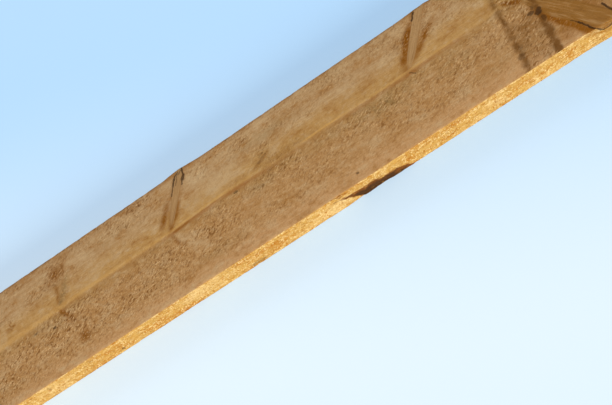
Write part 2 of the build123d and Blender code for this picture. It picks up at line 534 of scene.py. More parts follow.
def cell_noise(points, cell, seed):
    """Smooth noise from -1 to 1: each corner of a lattice of the given cell sizes gets a number from a hash,
    and the eight round a point are blended with the smooth step of its place between them."""
    places = points / np.asarray(cell, float)
    corner = np.floor(places).astype(np.int64)
    t = places - corner
    t = t * t * (3 - 2 * t)
    total = np.zeros(points.shape[:-1])
    for step in product((0, 1), repeat=3):
        x, y, z = np.moveaxis(corner + step, -1, 0)
        number = (x * 73856093) ^ (y * 19349663) ^ (z * 83492791) ^ (seed * 40503431)
        number = ((number ^ (number >> 13)) * 1274126177) & 0xFFFFFFFF
        number = ((number ^ (number >> 15)) * 2246822519) & 0xFFFFFFFF
        weight = np.prod(np.where(step, t, 1 - t), axis=-1)
        total += weight * (number / 0x7FFFFFFF - 1)
    return total


def pith_line(x):
    """Where the pith runs across the heart face: a line through its known places, eased by averaging it over
    a short length."""
    places, heights = np.array(PITH_LINE).T[:2]
    reach = np.linspace(-16, 16, 9)
    return np.mean([np.interp(x + step, places, heights) for step in reach], axis=0)


def pith_look(x):
    """How the pith shows at each place along the rafter: its light line's strength and half width, and the
    strength of the painted shade below it."""
    places, _, *looks = np.array(PITH_LINE).T
    return np.stack([np.interp(x, places, look) for look in looks], -1)


def log_radius(shape, x):
    """The log's radius: an even taper, less the waist, which fades out with the smooth step."""
    half = shape.length / MM / 2
    share = (x + half) / (2 * half)
    taper = shape.butt_radius / MM * (1 - share) + shape.top_radius / MM * share
    return taper - shape.waist_depth / MM * waist(shape, x)


def waist(shape, x):
    """1 at the middle of the waist, falling to 0 at its ends with the smooth step."""
    reach = np.abs(x - shape.waist_place / MM) / (shape.waist_length / MM / 2)
    return 1 - smooth(reach, 0, 1)


def narrow_face_swell(shape, x, side):
    """How far a narrow face stands out at its swells: each is the smooth step away from its middle, which
    lies up the tree from the branch's foot by the lean times the distance from pith to face."""
    shift = SWELL_LEAN * abs(side * shape.width / 2 - shape.pith_offset) / MM
    total = np.zeros_like(x)
    for start, swell_side, height in SWELLS:
        if swell_side == side:
            total += height * (1 - smooth(np.abs(x - start - shift), 0, SWELL_HALF_LENGTH))
    return total


def station_places(shape, relief):
    """Places along the rafter: the spacing is the fine step over the middle stretch and whatever is left
    over beyond it, with a smooth step between, so that the running sum of the spacings fills the length."""
    half = shape.length / MM / 2
    trial = np.linspace(-half, half, TRIAL_PLACES)
    fine = smooth(trial, *FINE_STRETCH[:2]) * (1 - smooth(trial, *FINE_STRETCH[2:]))
    count = relief.stations - 1
    step = relief.fine_step / MM
    fine_share = np.mean(fine) * 2 * half
    coarse = (2 * half - fine_share) / (count - fine_share / step)
    density = fine / step + (1 - fine) / coarse
    running = np.concatenate(([0], np.cumsum((density[1:] + density[:-1]) / 2)))
    return np.interp(np.linspace(0, running[-1], count + 1), running, trial)


def spread(low, high, count):
    """Even places from low to high, both ends left out."""
    return np.linspace(low, high, count + 2)[1:-1]


def heart_offsets(half_width, pith):
    """Places across the heart face, as distances from the pith: closest beside the pith."""
    lower = spread(-half_width - pith, PITH_POINTS[0], LOWER_POINTS)
    upper = spread(PITH_POINTS[-1], half_width - pith, UPPER_POINTS)
    return np.concatenate((lower, PITH_POINTS, upper))


def section_rings(shape, x):
    """The plank's section at each place, as rings of points anticlockwise seen from the top end: straight
    runs on the four faces joined by round arrises, the heart face falling evenly from the pith, and every
    point beyond the log's radius drawn in along its line to the pith until it is on the log."""
    half_width = shape.width / MM / 2
    thickness = shape.thickness / MM
    pith = shape.pith_offset / MM
    rise = shape.heart_rise / MM
    radius = shape.arris_radius / MM
    low = -half_width - narrow_face_swell(shape, x, -1)
    high = half_width + narrow_face_swell(shape, x, +1)

    def heart_height(y):
        reach = np.where(y > pith, half_width - pith, half_width + pith)
        return thickness - rise * np.abs(y - pith) / reach

    rings = []

    def add(y, z):
        rings.append(np.stack(np.broadcast_arrays(x, y, z), -1))

    def arris(side, base, start):
        for angle in np.radians(start + np.array([0, 45, 90])):
            edge = high if side > 0 else low
            centre_y = edge - side * radius
            centre_z = radius if base else heart_height(edge) - radius
            add(centre_y + radius * math.cos(angle), centre_z + radius * math.sin(angle))

    for share in spread(0, 1, BACK_POINTS):
        add(low + radius + share * (high - low - 2 * radius), 0.0)
    arris(+1, True, -90)
    for share in spread(0, 1, BATTEN_POINTS):
        add(high, radius + share * (heart_height(high) - 2 * radius))
    arris(+1, False, 0)
    wander = pith_line(x) - pith
    for offset in heart_offsets(half_width, pith)[::-1]:
        to_edge = half_width - pith if offset > 0 else half_width + pith
        share = abs(offset) / to_edge
        edge = high - radius if offset > 0 else low + radius
        y = (pith + offset) + (1 - share) * wander + share * (edge - (pith + math.copysign(to_edge, offset)))
        add(y, heart_height(y))
    arris(-1, False, 90)
    for share in spread(0, 1, BEARING_POINTS)[::-1]:
        add(low, radius + share * (heart_height(low) - 2 * radius))
    arris(-1, True, 180)

    points = np.stack(rings, 1)
    out_y = points[..., 1] - pith
    out_z = points[..., 2] - thickness
    reach = np.hypot(out_y, out_z)
    log = log_radius(shape, x)[:, None]
    pull = np.minimum(1, log / np.maximum(reach, TINY))
    points[..., 1] = pith + out_y * pull
    points[..., 2] = thickness + out_z * pull
    return points, pull < 1


def outward(points):
    """The outward direction of each ring point: its neighbours' chord turned a quarter turn."""
    chord = np.roll(points, -1, axis=1) - np.roll(points, 1, axis=1)
    away = np.stack((np.zeros(chord.shape[:2]), chord[..., 2], -chord[..., 1]), -1)
    return away / np.linalg.norm(away, axis=-1, keepdims=True)


def nearest_branch(shape, points):
    """For each point, its place in the branch it is nearest to: across the branch in two directions, in
    branch radii, and along it from the pith in millimetres. The radius grows as one less a falling
    exponential of the distance along the branch. With it comes what that branch is like."""
    best = np.full(points.shape[:-1], np.inf)
    place = np.zeros(points.shape)
    nature = np.zeros(points.shape[:-1] + (4,))
    for start, turn, lean, full, growth, dead, plain, grey, resin in BRANCHES:
        angle = math.radians(turn)
        axis = np.array([lean, math.cos(angle), math.sin(angle)])
        axis /= np.linalg.norm(axis)
        up_tree = np.array([1.0, 0, 0]) - axis[0] * axis
        up_tree /= np.linalg.norm(up_tree)
        round_it = np.cross(axis, up_tree)
        foot = np.array([start, float(pith_line(np.array(float(start)))), shape.thickness / MM])
        from_foot = points - foot
        along = from_foot @ axis
        radius = THINNEST_BRANCH + full * (1 - np.exp(-np.maximum(along, FOOT_LENGTH) / growth))
        across = from_foot @ up_tree / radius
        beside = from_foot @ round_it / radius
        distance = np.hypot(across, beside) + np.where(along < 0, -along, 0)
        closer = distance < best
        best = np.where(closer, distance, best)
        mine = np.stack((across, beside, along), -1)
        place = np.where(closer[..., None], mine, place)
        nature = np.where(closer[..., None], np.array([plain, dead / BRANCH_UNIT, grey, resin]), nature)
    shrink = np.minimum(1, BRANCH_LIMIT / np.maximum(np.hypot(place[..., 0], place[..., 1]), TINY))
    place[..., :2] *= shrink[..., None]
    return np.minimum(best, BRANCH_LIMIT), place, nature


def log_places(shape, points, branch_distance, branch_nature):
    """Each point's place in the log: along the grain, and from the pith in two directions. Near a branch the
    rings bulge outwards by a few millimetres, falling off exponentially with the distance from it."""
    out_y = points[..., 1] - pith_line(points[..., 0])
    out_z = points[..., 2] - shape.thickness / MM - PITH_ABOVE
    reach = np.hypot(out_y, out_z)
    bulge = RING_BULGE * branch_nature[..., 0] * np.exp(-np.maximum(branch_distance - 0.8, 0) / 0.9)
    bulge = bulge * smooth(reach, 2, 20)
    keep = np.maximum(reach - bulge, 0.2) / np.maximum(reach, 0.2)
    sway = 2.2 * cell_noise(points, (260, 90, 90), 11)
    return np.stack((points[..., 0] + sway, out_y * keep, out_z * keep), -1)


def face_weights(normals, on_log):
    """How much each point belongs to the heart face, the narrow faces, the cross-cuts and the wane."""
    heart = smooth(normals[..., 2], *FACE_SHARES)
    narrow = smooth(np.abs(normals[..., 1]), *FACE_SHARES) * ~on_log
    return np.stack((heart, narrow, np.zeros_like(heart), on_log.astype(float)), -1)


def lath_lines(points):
    """The lines that the laths left: a bell on each side of each lath, broken up by noise along them, and
    darkest towards the bearing arris. With them comes how far each point lies between such a pair."""
    x, y = points[..., 0], points[..., 1]
    bend = 1.6 * cell_noise(points, (400, 26, 26), 21) + 1.0 * cell_noise(points, (9, 7, 7), 24)
    width = 5.0 + 1.5 * cell_noise(points, (30, 16, 16), 23) + 1.0 * smooth(-y, 20, 45)
    total = np.zeros_like(x)
    between = np.zeros_like(x)
    for middle, lath_width, *strengths in LATHS:
        from_middle = x - middle - LATH_LEAN * (y - LATH_MIDDLE_Y)
        for side, strength in zip((-0.5, 0.5), strengths):
            total = np.maximum(total, strength * bell(from_middle, side * lath_width + bend, width))
        past = np.abs(from_middle) - lath_width / 2
        between += 1 - smooth(past, -LATH_SOFT_END, LATH_SOFT_END)
    broken = 0.88 + 0.14 * cell_noise(points, (40, 11, 11), 22) + 0.28 * cell_noise(points, (7, 4, 4), 25)
    broken -= 0.25 * smooth(y, 0, 22)
    return total * np.clip(broken, 0.1, 1.4), between


def streak_marks(points):
    """What the streaks bring to each point: a bell of the distance from a line that wanders a little, weaker
    and narrower towards both ends."""
    x = points[..., 0] + 0.9 * cell_noise(points, (10, 10, 10), 35)
    y = points[..., 1] + 0.9 * cell_noise(points, (10, 10, 10), 36)
    patchy = 0.9 + 0.35 * cell_noise(points, (8, 6, 6), 37)
    total = np.zeros(x.shape + (4,))
    for start_x, start_y, end_x, end_y, half_width, *brings in STREAKS:
        run_x, run_y = end_x - start_x, end_y - start_y
        share = np.clip(((x - start_x) * run_x + (y - start_y) * run_y) / (run_x**2 + run_y**2), 0, 1)
        away = np.hypot(x - start_x - share * run_x, y - start_y - share * run_y)
        fade = smooth(share, -0.2, 0.3) * (1 - smooth(share, 0.7, 1.2))
        mark = bell(away, 0, half_width * (0.5 + 0.5 * fade)) * fade * patchy
        total = np.maximum(total, mark[..., None] * np.array(brings))
    return total


def surface_marks(points, faces):
    """How much torn grain, lath stain, grey smudge, resin colour and pale wood each point has. The torn
    grain is heaviest below the pith, where the saw ran against the grain."""
    x, y = points[..., 0], points[..., 1]
    heart, narrow = faces[..., 0], faces[..., 1]
    below = pith_line(x) - y
    patchy = cell_noise(points, (46, 19, 19), 31) * 0.6 + cell_noise(points, (17, 9, 9), 32) * 0.5
    lower_half = smooth(below, 1, 8) * (1 - 0.85 * smooth(below + 9 * patchy, 50, 80))
    butt_side = 1 - 0.25 * smooth(x, -140, -60)
    torn = lower_half * butt_side * np.clip(0.62 + 0.7 * patchy, 0.1, 1)
    upper_half = smooth(-below, 8, 45)
    torn = np.maximum(torn, upper_half * np.clip(0.30 + 0.75 * patchy, 0.05, 1))
    smudge = np.clip(cell_noise(points, (120, 24, 24), 33) - 0.25, 0, 1) * 0.6
    resin = np.clip(cell_noise(points, (75, 14, 14), 34) - 0.45, 0, 1) * 0.6
    marks = np.stack((torn, smudge, resin), -1)
    for middle_x, middle_y, half_x, half_y, *brings in HEART_PATCHES:
        soft = bell(x, middle_x, half_x) * bell(y, middle_y, half_y)
        marks = np.maximum(marks, soft[..., None] * np.array(brings))
    streaks = streak_marks(points)
    streaks[..., 2:] *= heart[..., None]
    torn, smudge, resin = np.moveaxis(np.maximum(marks, streaks[..., :3]), -1, 0)
    lines, between = lath_lines(points)
    torn = np.maximum(torn, between * 0.8)
    torn = heart * torn + narrow * np.clip(0.8 + 0.5 * patchy, 0, 1)
    torn += (1 - heart) * (1 - narrow) * np.clip(0.25 + 0.9 * patchy, 0, 1)
    stained = between * (0.22 + 0.2 * smooth(-y, 0, 25) + 0.2 * cell_noise(points, (14, 8, 8), 26))
    lath = np.maximum(lines, stained) * np.maximum(heart, (1 - heart) * (1 - narrow))
    marks = np.stack((torn, lath, smudge * heart, resin * np.maximum(heart, 0.4)), -1)
    return marks, streaks[..., 3]


def bark_reach(shape, points):
    """How far inside the bark each point lies, in millimetres, with ragged noise: its distance from the pith
    less that of the bark's upper edge on the bearing face, or its height above the lower edge if less."""
    pith = shape.pith_offset / MM
    thickness = shape.thickness / MM
    places, tops, bottoms = np.array(BARK_EDGES).T
    reach = np.hypot(points[..., 1] - pith, points[..., 2] - thickness)
    wood = np.hypot(shape.width / MM / 2 + pith, thickness - np.interp(points[..., 0], places, tops))
    inward = np.maximum(0, points[..., 1] + BARK_BACK_EDGE)
    above = points[..., 2] - np.interp(points[..., 0], places, bottoms) - BARK_BACK_SLANT * inward
    beside = np.minimum(points[..., 0] - places[0], places[-1] - points[..., 0])
    ragged = 1.3 * cell_noise(points, (9, 4, 4), 41) + 0.8 * cell_noise(points, (3.5, 2.5, 2.5), 42)
    return np.minimum(np.minimum(reach - wood, above), beside) + ragged


def relief_heights(relief, skin):
    """How far each point is moved outwards, in millimetres: never above the solid's faces. Only the bark on
    the round of the log stands out, into the corner that the solid leaves free."""
    points = skin.points
    heart, narrow, on_log = skin.faces[..., 0], skin.faces[..., 1], skin.faces[..., 3]
    along = skin.branch_place[..., 2]
    plain, dead_from = skin.branch_nature[..., 0], skin.branch_nature[..., 1]
    torn = skin.marks[..., 0]
    leaning = points + np.array([0, 0.4, 0]) * points[..., :1]
    coarse = cell_noise(leaning, (7.5, 5.0, 5.0), 51)
    finer = cell_noise(leaning, (4.2, 3.2, 3.2), 52)
    slow = cell_noise(points, (170, 60, 60), 53)
    rough = np.minimum(0, 0.6 * coarse + 0.7 * finer)
    height = -relief.settle / MM * (1 - 0.35 * slow)
    height += relief.torn / MM * torn * rough * (1 - narrow)
    height += relief.pitted / MM * narrow * rough
    slant = points[..., 0] + SAW_SLANT_Y * points[..., 1] + SAW_SLANT_Z * points[..., 2]
    beat = slant / SAW_SPACING + 0.7 * cell_noise(points, (90, 400, 400), 54)
    height += relief.saw / MM * (np.abs(beat % 1 - 0.5) * 2 - 1) * (1 - 0.5 * torn)
    below = pith_line(points[..., 0]) - points[..., 1]
    step = smooth(below, -1.0, 0.8) * (1 - smooth(below, 1.5, 9))
    height -= relief.crease / MM * heart * step
    inside = 1 - smooth(skin.branch_distance, 0.9, 1.25)
    height += relief.knot_lift / MM * inside * plain
    dead = smooth(along / BRANCH_UNIT, dead_from - 0.08, dead_from + 0.04)
    gap = bell(skin.branch_distance, 1.08, 0.16) * dead * smooth(plain, 0.7, 0.9)
    height -= GAP_DEPTH * gap
    splinter = 0.8 * cell_noise(points, (22, 300, 300), 55) + 0.35 * cell_noise(points, (7, 300, 300), 56)
    height -= relief.arris_wear / MM * skin.bends * (0.1 + np.clip(splinter, 0, 1))
    flakes = cell_noise(points, (11, 3.5, 3.5), 57)
    crust = smooth(skin.bark, 0.0, 1.0)
    height += crust * (1 - on_log) * (0.9 * np.minimum(flakes, 0.2) - 0.4)
    lift = crust * on_log * (relief.bark_lift / MM + 0.5 * flakes)
    height = np.minimum(height, LEAST_SETTLE) + lift
    return np.where(skin.faces[..., 2] > 0, cut_heights(points), height)


def cut_heights(points):
    """How far each point of a cross-cut is moved outwards, in millimetres: the marks of the cross-cut saw,
    all of them under the solid's face."""
    cut = 0.25 * cell_noise(points, (1, 5, 3), 61) + 0.3 * cell_noise(points, (1, 2.4, 11), 62)
    return CUT_DEPTH * (np.minimum(cut, 0.3) - 1)


def arris_bends(points):
    """1 at the round arrises and 0 on the faces: how sharply each ring turns there."""
    before = points - np.roll(points, 1, axis=1)
    after = np.roll(points, -1, axis=1) - points
    lengths = np.linalg.norm(before, axis=-1) * np.linalg.norm(after, axis=-1)
    return smooth(1 - np.sum(before * after, -1) / np.maximum(lengths, TINY), 0.02, 0.2)


def end_caps(rings):
    """The points of each cross-cut: copies of the end ring drawn in towards the middle of the section,
    closest together at the rim, and one point in the middle."""
    shares = 1 - np.linspace(0, 1, CAP_LOOPS + 1)[1:-1] ** CAP_CROWDING
    shares = np.concatenate(([RIM_SHARE], shares))
    for ring in (rings[0], rings[-1]):
        middle = ring.mean(axis=0)
        loops = middle + shares[:, None, None] * (ring - middle)
        yield np.concatenate((loops.reshape(-1, 3), middle[None]))


def grid_faces(rows, columns, first, flip=False):
    """The quads between neighbouring closed rings whose points are numbered row by row."""
    index = first + np.arange(rows * columns).reshape(rows, columns)
    here, there = index[:-1], index[1:]
    corners = (here, np.roll(here, -1, axis=1), np.roll(there, -1, axis=1), there)
    if flip:
        corners = corners[::-1]
    return np.stack(corners, -1).reshape(-1, 4)


def fan_faces(ring, middle, flip):
    """The triangles from a closed ring to one point."""
    after = np.roll(ring, -1)
    corners = (after, ring) if flip else (ring, after)
    return np.stack((*corners, np.full_like(ring, middle)), -1)


def make_mesh(name, points, quads, triangles):
    """A mesh in metres from points in millimetres, all its faces smooth."""
    mesh = bpy.data.meshes.new(name)
    corners = np.concatenate((quads.ravel(), triangles.ravel())).astype(np.int32)
    sizes = np.concatenate((np.full(len(quads), 4), np.full(len(triangles), 3)))
    starts = np.concatenate(([0], np.cumsum(sizes)[:-1])).astype(np.int32)
    mesh.vertices.add(len(points))
    mesh.vertices.foreach_set("co", (points * MM).astype(np.float32).ravel())
    mesh.loops.add(len(corners))
    mesh.loops.foreach_set("vertex_index", corners)
    mesh.polygons.add(len(sizes))
    mesh.polygons.foreach_set("loop_start", starts)
    mesh.update(calc_edges=True)
    mesh.validate()
    mesh.shade_smooth()
    return mesh


def store(mesh, name, values):
    """Keeps values for each point in the mesh, for the material to read."""
    width = values.shape[-1]
    kind, field = {3: ("FLOAT_VECTOR", "vector"), 4: ("FLOAT_COLOR", "color")}[width]
    layer = mesh.attributes.new(name, kind, "POINT")
    layer.data.foreach_set(field, values.astype(np.float32).ravel())


def skin_points(shape, rings, on_log):
    """All points of the skin, ring by ring and then cap by cap, with what is known of each: its outward
    direction, its faces, how far it is on an arris, its branch, its bark and its marks."""
    normals = outward(rings)
    parts = [(rings, normals, face_weights(normals, on_log), arris_bends(rings)[..., None])]
    for cap, way in zip(end_caps(rings), (-1.0, 1.0)):
        # A cap's points share their outward direction, lie on the cross-cut alone and are on no arris.
        known = ((way, 0.0, 0.0), (0.0, 0.0, 1.0, 0.0), (0.0,))
        parts.append((cap, *(np.tile(row, (len(cap), 1)) for row in known)))
    flat = [[part.reshape(-1, part.shape[-1]) for part in column] for column in zip(*parts)]
    skin = SimpleNamespace()
    skin.points, skin.outward, skin.faces, skin.bends = (np.concatenate(column) for column in flat)
    skin.bends = skin.bends[:, 0]
    skin.branch_distance, skin.branch_place, skin.branch_nature = nearest_branch(shape, skin.points)
    skin.bark = bark_reach(shape, skin.points)
    skin.marks, skin.pale = surface_marks(skin.points, skin.faces)
    return skin


def skin_corners(rows, columns):
    """The corners of the skin's faces: quads between the rings, over each rim and between the loops of each
    cap, and a fan of triangles in the middle of each cap."""
    quads = [grid_faces(rows, columns, 0)]
    triangles = []
    first = rows * columns
    around = np.arange(columns)
    for ring_start, flip in ((0, True), ((rows - 1) * columns, False)):
        ring, rim = ring_start + around, first + around
        corners = (ring, np.roll(ring, -1), np.roll(rim, -1), rim)
        quads.append(np.stack(corners[::-1] if flip else corners, -1))
        quads.append(grid_faces(CAP_LOOPS, columns, first, flip))
        middle = first + CAP_LOOPS * columns
        triangles.append(fan_faces(middle - columns + around, middle, flip))
        first = middle + 1
    return np.concatenate(quads), np.concatenate(triangles)


def skin_surface(shape, relief):
    """The rafter's surface as a mesh: a grid along and round it, closed by the two cross-cuts. Each point is
    moved outwards by its height and kept inside the solid's box, and what the material reads is stored."""
    rings, on_log = section_rings(shape, station_places(shape, relief))
    skin = skin_points(shape, rings, on_log)
    moved = skin.points + skin.outward * relief_heights(relief, skin)[:, None]
    moved = np.clip(moved, np.array(RAFTER_LOW) / MM, np.array(RAFTER_HIGH) / MM)
    mesh = make_mesh("rafter_skin", moved, *skin_corners(*rings.shape[:2]))
    mesh.set_sharp_from_angle(angle=SHARP_ANGLE)

    store(mesh, "log_place", log_places(shape, skin.points, skin.branch_distance, skin.branch_nature))
    store(mesh, "branch_place", skin.branch_place)
    store(mesh, "branch_nature", skin.branch_nature)
    store(mesh, "face_kind", skin.faces)
    store(mesh, "marks", skin.marks)
    store(mesh, "cover", np.stack((skin.bark, skin.branch_distance, skin.pale), -1))
    store(mesh, "pith_look", pith_look(skin.points[:, 0]))
    return mesh


def arithmetic(operation, reflected=False):
    """A method that adds a Math node for the operation, its two sides swapped where it is reflected."""

    def method(self, *other):
        parts = (*other, self) if reflected else (self, *other)
        return self.recipe.maths(operation, *parts)

    return method


class Value:
    """A number, colour or vector that varies over the surface: one socket, with arithmetic on it."""

    def __init__(self, recipe, socket):
        self.recipe = recipe
        self.socket = socket

    __add__ = arithmetic("ADD")
    __radd__ = arithmetic("ADD", reflected=True)
    __sub__ = arithmetic("SUBTRACT")
    __rsub__ = arithmetic("SUBTRACT", reflected=True)
    __mul__ = arithmetic("MULTIPLY")
    __rmul__ = arithmetic("MULTIPLY", reflected=True)
    __truediv__ = arithmetic("DIVIDE")
    __pow__ = arithmetic("POWER")
    __abs__ = arithmetic("ABSOLUTE")
    fraction = arithmetic("FRACT")
    greatest = arithmetic("MAXIMUM")
    least = arithmetic("MINIMUM")

    def ease(self, low, high):
        """0 at low and 1 at high, with a smooth step between; low may be the larger."""
        if low > high:
            return 1 - self.ease(high, low)
        values = {"Value": self, "From Min": low, "From Max": high}
        return self.recipe.node("ShaderNodeMapRange", {"interpolation_type": "SMOOTHSTEP"}, values)

    def near(self, middle, half_width):
        """1 at the middle, falling to 0 at the half width on each side."""
        return abs(self - middle).ease(half_width, 0)


class Recipe:
    """A material's node tree, with the two ways in which nodes are added to it."""

    def __init__(self, name):
        self.material = bpy.data.materials.new(name)
        self.material.use_nodes = True
        self.tree = self.material.node_tree
        self.tree.nodes.clear()

    def node(self, kind, settings=None, values=None, output=0):
        """Adds a node: its settings first, then the values or links of its sockets."""
        node = self.tree.nodes.new(kind)
        for name, setting in (settings or {}).items():
            if name == "stops":
                self.set_stops(node.color_ramp, setting)
            else:
                setattr(node, name, setting)
        for name, value in (values or {}).items():
            socket = node.inputs[name]
            if isinstance(value, Value):
                self.tree.links.new(value.socket, socket)
            elif isinstance(value, tuple) and len(socket.default_value) == 4:
                socket.default_value = (*value[:3], 1)
            else:
                socket.default_value = value
        return Value(self, node.outputs[output])

    def finished(self, shader):
        """The material, with its shader joined to the output."""
        output = self.tree.nodes.new("ShaderNodeOutputMaterial")
        self.tree.links.new(shader.socket, output.inputs["Surface"])
        return self.material

    def set_stops(self, ramp, stops):
        while len(ramp.elements) < len(stops):
            ramp.elements.new(0.5)
        for element, (place, colour) in zip(ramp.elements, stops):
            element.position = place
            element.color = (*colour[:3], 1)

    def maths(self, operation, *parts):
        return self.node("ShaderNodeMath", {"operation": operation}, dict(enumerate(parts)))

    def outputs(self, value):
        """All outputs of the node that a value comes from."""
        return [Value(self, socket) for socket in value.socket.node.outputs]

    def split(self, vector):
        return self.outputs(self.node("ShaderNodeSeparateXYZ", None, {0: vector}))

    def vector(self, x, y, z):
        return self.node("ShaderNodeCombineXYZ", None, {0: x, 1: y, 2: z})

    def mix(self, factor, first, second, blend="MIX"):
        """Colour mix: factor 0 gives the first colour and 1 the second."""
        settings = {"data_type": "RGBA", "blend_type": blend, "clamp_factor": True}
        return self.node("ShaderNodeMix", settings, {0: factor, 6: first, 7: second}, 2)

    def noise(self, x, y, z, detail=2.0, roughness=0.5):
        """Noise about 0.5, one feature to a unit of the place given."""
        values = {"Vector": self.vector(x, y, z), "Scale": 1.0, "Detail": detail, "Roughness": roughness}
        return self.node("ShaderNodeTexNoise", None, values)

    def attribute(self, name):
        """The three parts of a mesh attribute, and its fourth, which stays unused where it has none."""
        _, vector, _, fourth = self.outputs(self.node("ShaderNodeAttribute", {"attribute_name": name}))
        return (*self.split(vector), fourth)

    def stroke(self, along, across, start, end, half_width):
        """A straight stroke: 1 on the line from start to end and 0 a half width away from it."""
        length = math.hypot(end[0] - start[0], end[1] - start[1])
        line_x, line_y = (end[0] - start[0]) / length, (end[1] - start[1]) / length
        from_x, from_y = along - start[0], across - start[1]
        travelled = from_x * line_x + from_y * line_y
        past = travelled - travelled.greatest(0.0).least(length)
        off = from_y * line_x - from_x * line_y
        return ((past**2.0 + off**2.0) ** 0.5).ease(half_width, half_width * 0.35)

    def speck(self, along, across, half_along, half_across):
        """A round spot of the given half sizes: 1 in its middle and 0 outside; along and across are measured
        from its middle."""
        reach = (along / half_along) ** 2.0 + (across / half_across) ** 2.0
        return reach.ease(1.3, 0.45)


class TimberRecipe(Recipe):
    """The timber's recipe, with the places and marks that its layers read."""

    def __init__(self, settings):
        super().__init__("sawn_softwood")
        colours = settings.colours
        self.shape = settings.shape
        self.tone = {name: tuple(getattr(colours, name)) for name in colours.__annotations__}
        self.grain, self.out_y, self.out_z, _ = self.attribute("log_place")
        self.up_tree, self.beside, self.branch_along, _ = self.attribute("branch_place")
        self.plain, self.dead_from, self.grey, self.resinous = self.attribute("branch_nature")
        self.heart, self.narrow, self.end, self.wane = self.attribute("face_kind")
        self.torn, self.lath, self.smudge, self.resin = self.attribute("marks")
        self.bark, self.branch_distance, self.pale, _ = self.attribute("cover")
        self.batten = self.narrow * self.out_y.ease(0, 5)
        self.back = (1 - self.heart) * (1 - self.narrow) * (1 - self.end)
        place = self.node("ShaderNodeTexCoord", None, None, 3)
        self.x, self.y, self.z = [part * (1 / MM) for part in self.split(place)]
        self.patch = self.noise_at(9, 6, 3.0, 0.6)
        self.crumb = self.noise_at(1.6, 1.5, 2.0, 0.6)

    def noise_at(self, length, breadth, detail=2.0, roughness=0.5):
        """Noise in the rafter's own place: the size of its features along the grain and across it."""
        return self.noise(self.x / length, self.y / breadth, self.z / breadth, detail, roughness)

    def grain_noise(self, length, breadth, detail=2.0, roughness=0.5):
        """Noise that follows the grain round the branches."""
        return self.noise(self.grain / length, self.out_y / breadth, self.out_z / breadth, detail, roughness)

    def tint(self, colour, share, name, blend="MIX"):
        """The colour with that share of one of the timber's own colours laid over it."""
        return self.mix(share, colour, self.tone[name], blend)


def face_layers(made):
    """The colour of each face, with clouds in it. On the heart face it changes from arris to arris, along
    lines that sway beside the pith."""
    zones = [(place, made.tone[name]) for place, name in HEART_ZONES]
    sway = (made.grain_noise(130, 34) - 0.5) * 18
    from_pith = made.out_y + sway * abs(made.out_y).ease(3, 14)
    below_pith = (made.shape.width / 2 + made.shape.pith_offset) / MM
    across = (from_pith + below_pith) / (made.shape.width / MM)
    colour = made.node("ShaderNodeValToRGB", {"stops": zones}, {"Fac": across})
    # The narrow faces' colours are partly painted sunlight.
    for face, name in (
        (made.narrow, "narrow_face"),
        (made.batten, "batten_face"),
        (made.back, "back_face"),
        (made.end, "end_grain"),
        (made.wane, "wane"),
    ):
        colour = made.tint(colour, face, name)
    cloud = made.noise_at(30, 15, 3.0, 0.6)
    mottle = made.noise_at(8, 5.5, 2.0, 0.6)
    above = made.out_y.ease(2, 14)
    dark = cloud.ease(0.52, 0.30) * (0.45 + 0.15 * above) + mottle.ease(0.48, 0.30) * 0.35
    pale = cloud.ease(0.50, 0.70) * (0.45 + 0.2 * above) + mottle.ease(0.52, 0.70) * 0.35
    colour = made.tint(colour, dark * (1 - 0.6 * made.narrow), "cloud_dark")
    return made.tint(colour, pale * (1 - made.narrow), "cloud_pale")


def stroke_layers(made, colour):
    """The narrow faces: short pale and rusty strokes side by side, leaning a little, where the saw crossed
    the grain, in larger clouds of both. The fine strokes are partly painted highlight and painted shade of
    the rough sawn surface. They are fainter on the batten face."""
    leaning = made.x - made.z * 0.3
    fine = made.noise(leaning / 2.3, made.y / 9, made.z / 3.0, 2.0, 0.65)
    broad = made.noise(leaning / 9.0, made.y / 9, made.z / 8.0, 2.0, 0.6)
    both = fine * 0.6 + broad * 0.4
    zone = made.noise(made.x / 55, made.y / 20, made.z / 24, 2.0, 0.5)
    busy = made.noise(made.x / 24, made.y / 12, made.z / 13, 2.0, 0.55).ease(0.38, 0.60)
    share = (made.narrow - 0.6 * made.batten) * (0.5 + 1.2 * busy)
    colour = made.tint(colour, zone.ease(0.50, 0.68) * share * 0.5, "narrow_cream")
    colour = made.tint(colour, zone.ease(0.50, 0.34) * share * 0.45, "narrow_rust")
    # The fine strokes: painted highlight and painted shade of the sawn roughness, mixed with the wood's own
    # tone.
    colour = made.tint(colour, both.ease(0.51, 0.61) * share, "narrow_cream")
    return made.tint(colour, both.ease(0.48, 0.37) * share, "narrow_rust")


def grain_layers(made, colour):
    """Growth rings about the pith, and the fibres along them."""
    reach = (made.out_y**2.0 + made.out_z**2.0) ** 0.5
    uneven = made.noise(reach * 0.11, 0.0, made.grain / 900, 1.0) * 3.2
    ring = (reach / RING_WIDTH + uneven).fraction()
    late = ring.ease(0.35, 0.9) * ring.ease(1.0, 0.95) * reach.ease(1.5, 7)
    strength = 0.10 * made.heart + 0.16 * made.narrow + 0.34 * made.batten
    strength += 0.5 * made.back + 0.85 * made.end
    colour = made.tint(colour, late * strength * (1 - 0.5 * made.torn), "late_wood")
    smooth_wood = 1 - made.torn.least(1.0)
    fibre = (made.grain_noise(14, 1.1, 3.0, 0.6) - 0.5) * (0.4 + 0.35 * smooth_wood)
    fibre += (made.grain_noise(60, 3.0) - 0.5) * 0.35
    colour = made.tint(colour, fibre.greatest(0.0) * (1 - made.end), "fleck_light")
    return made.tint(colour, (fibre * -1.1).greatest(0.0) * (1 - made.end), "late_wood")


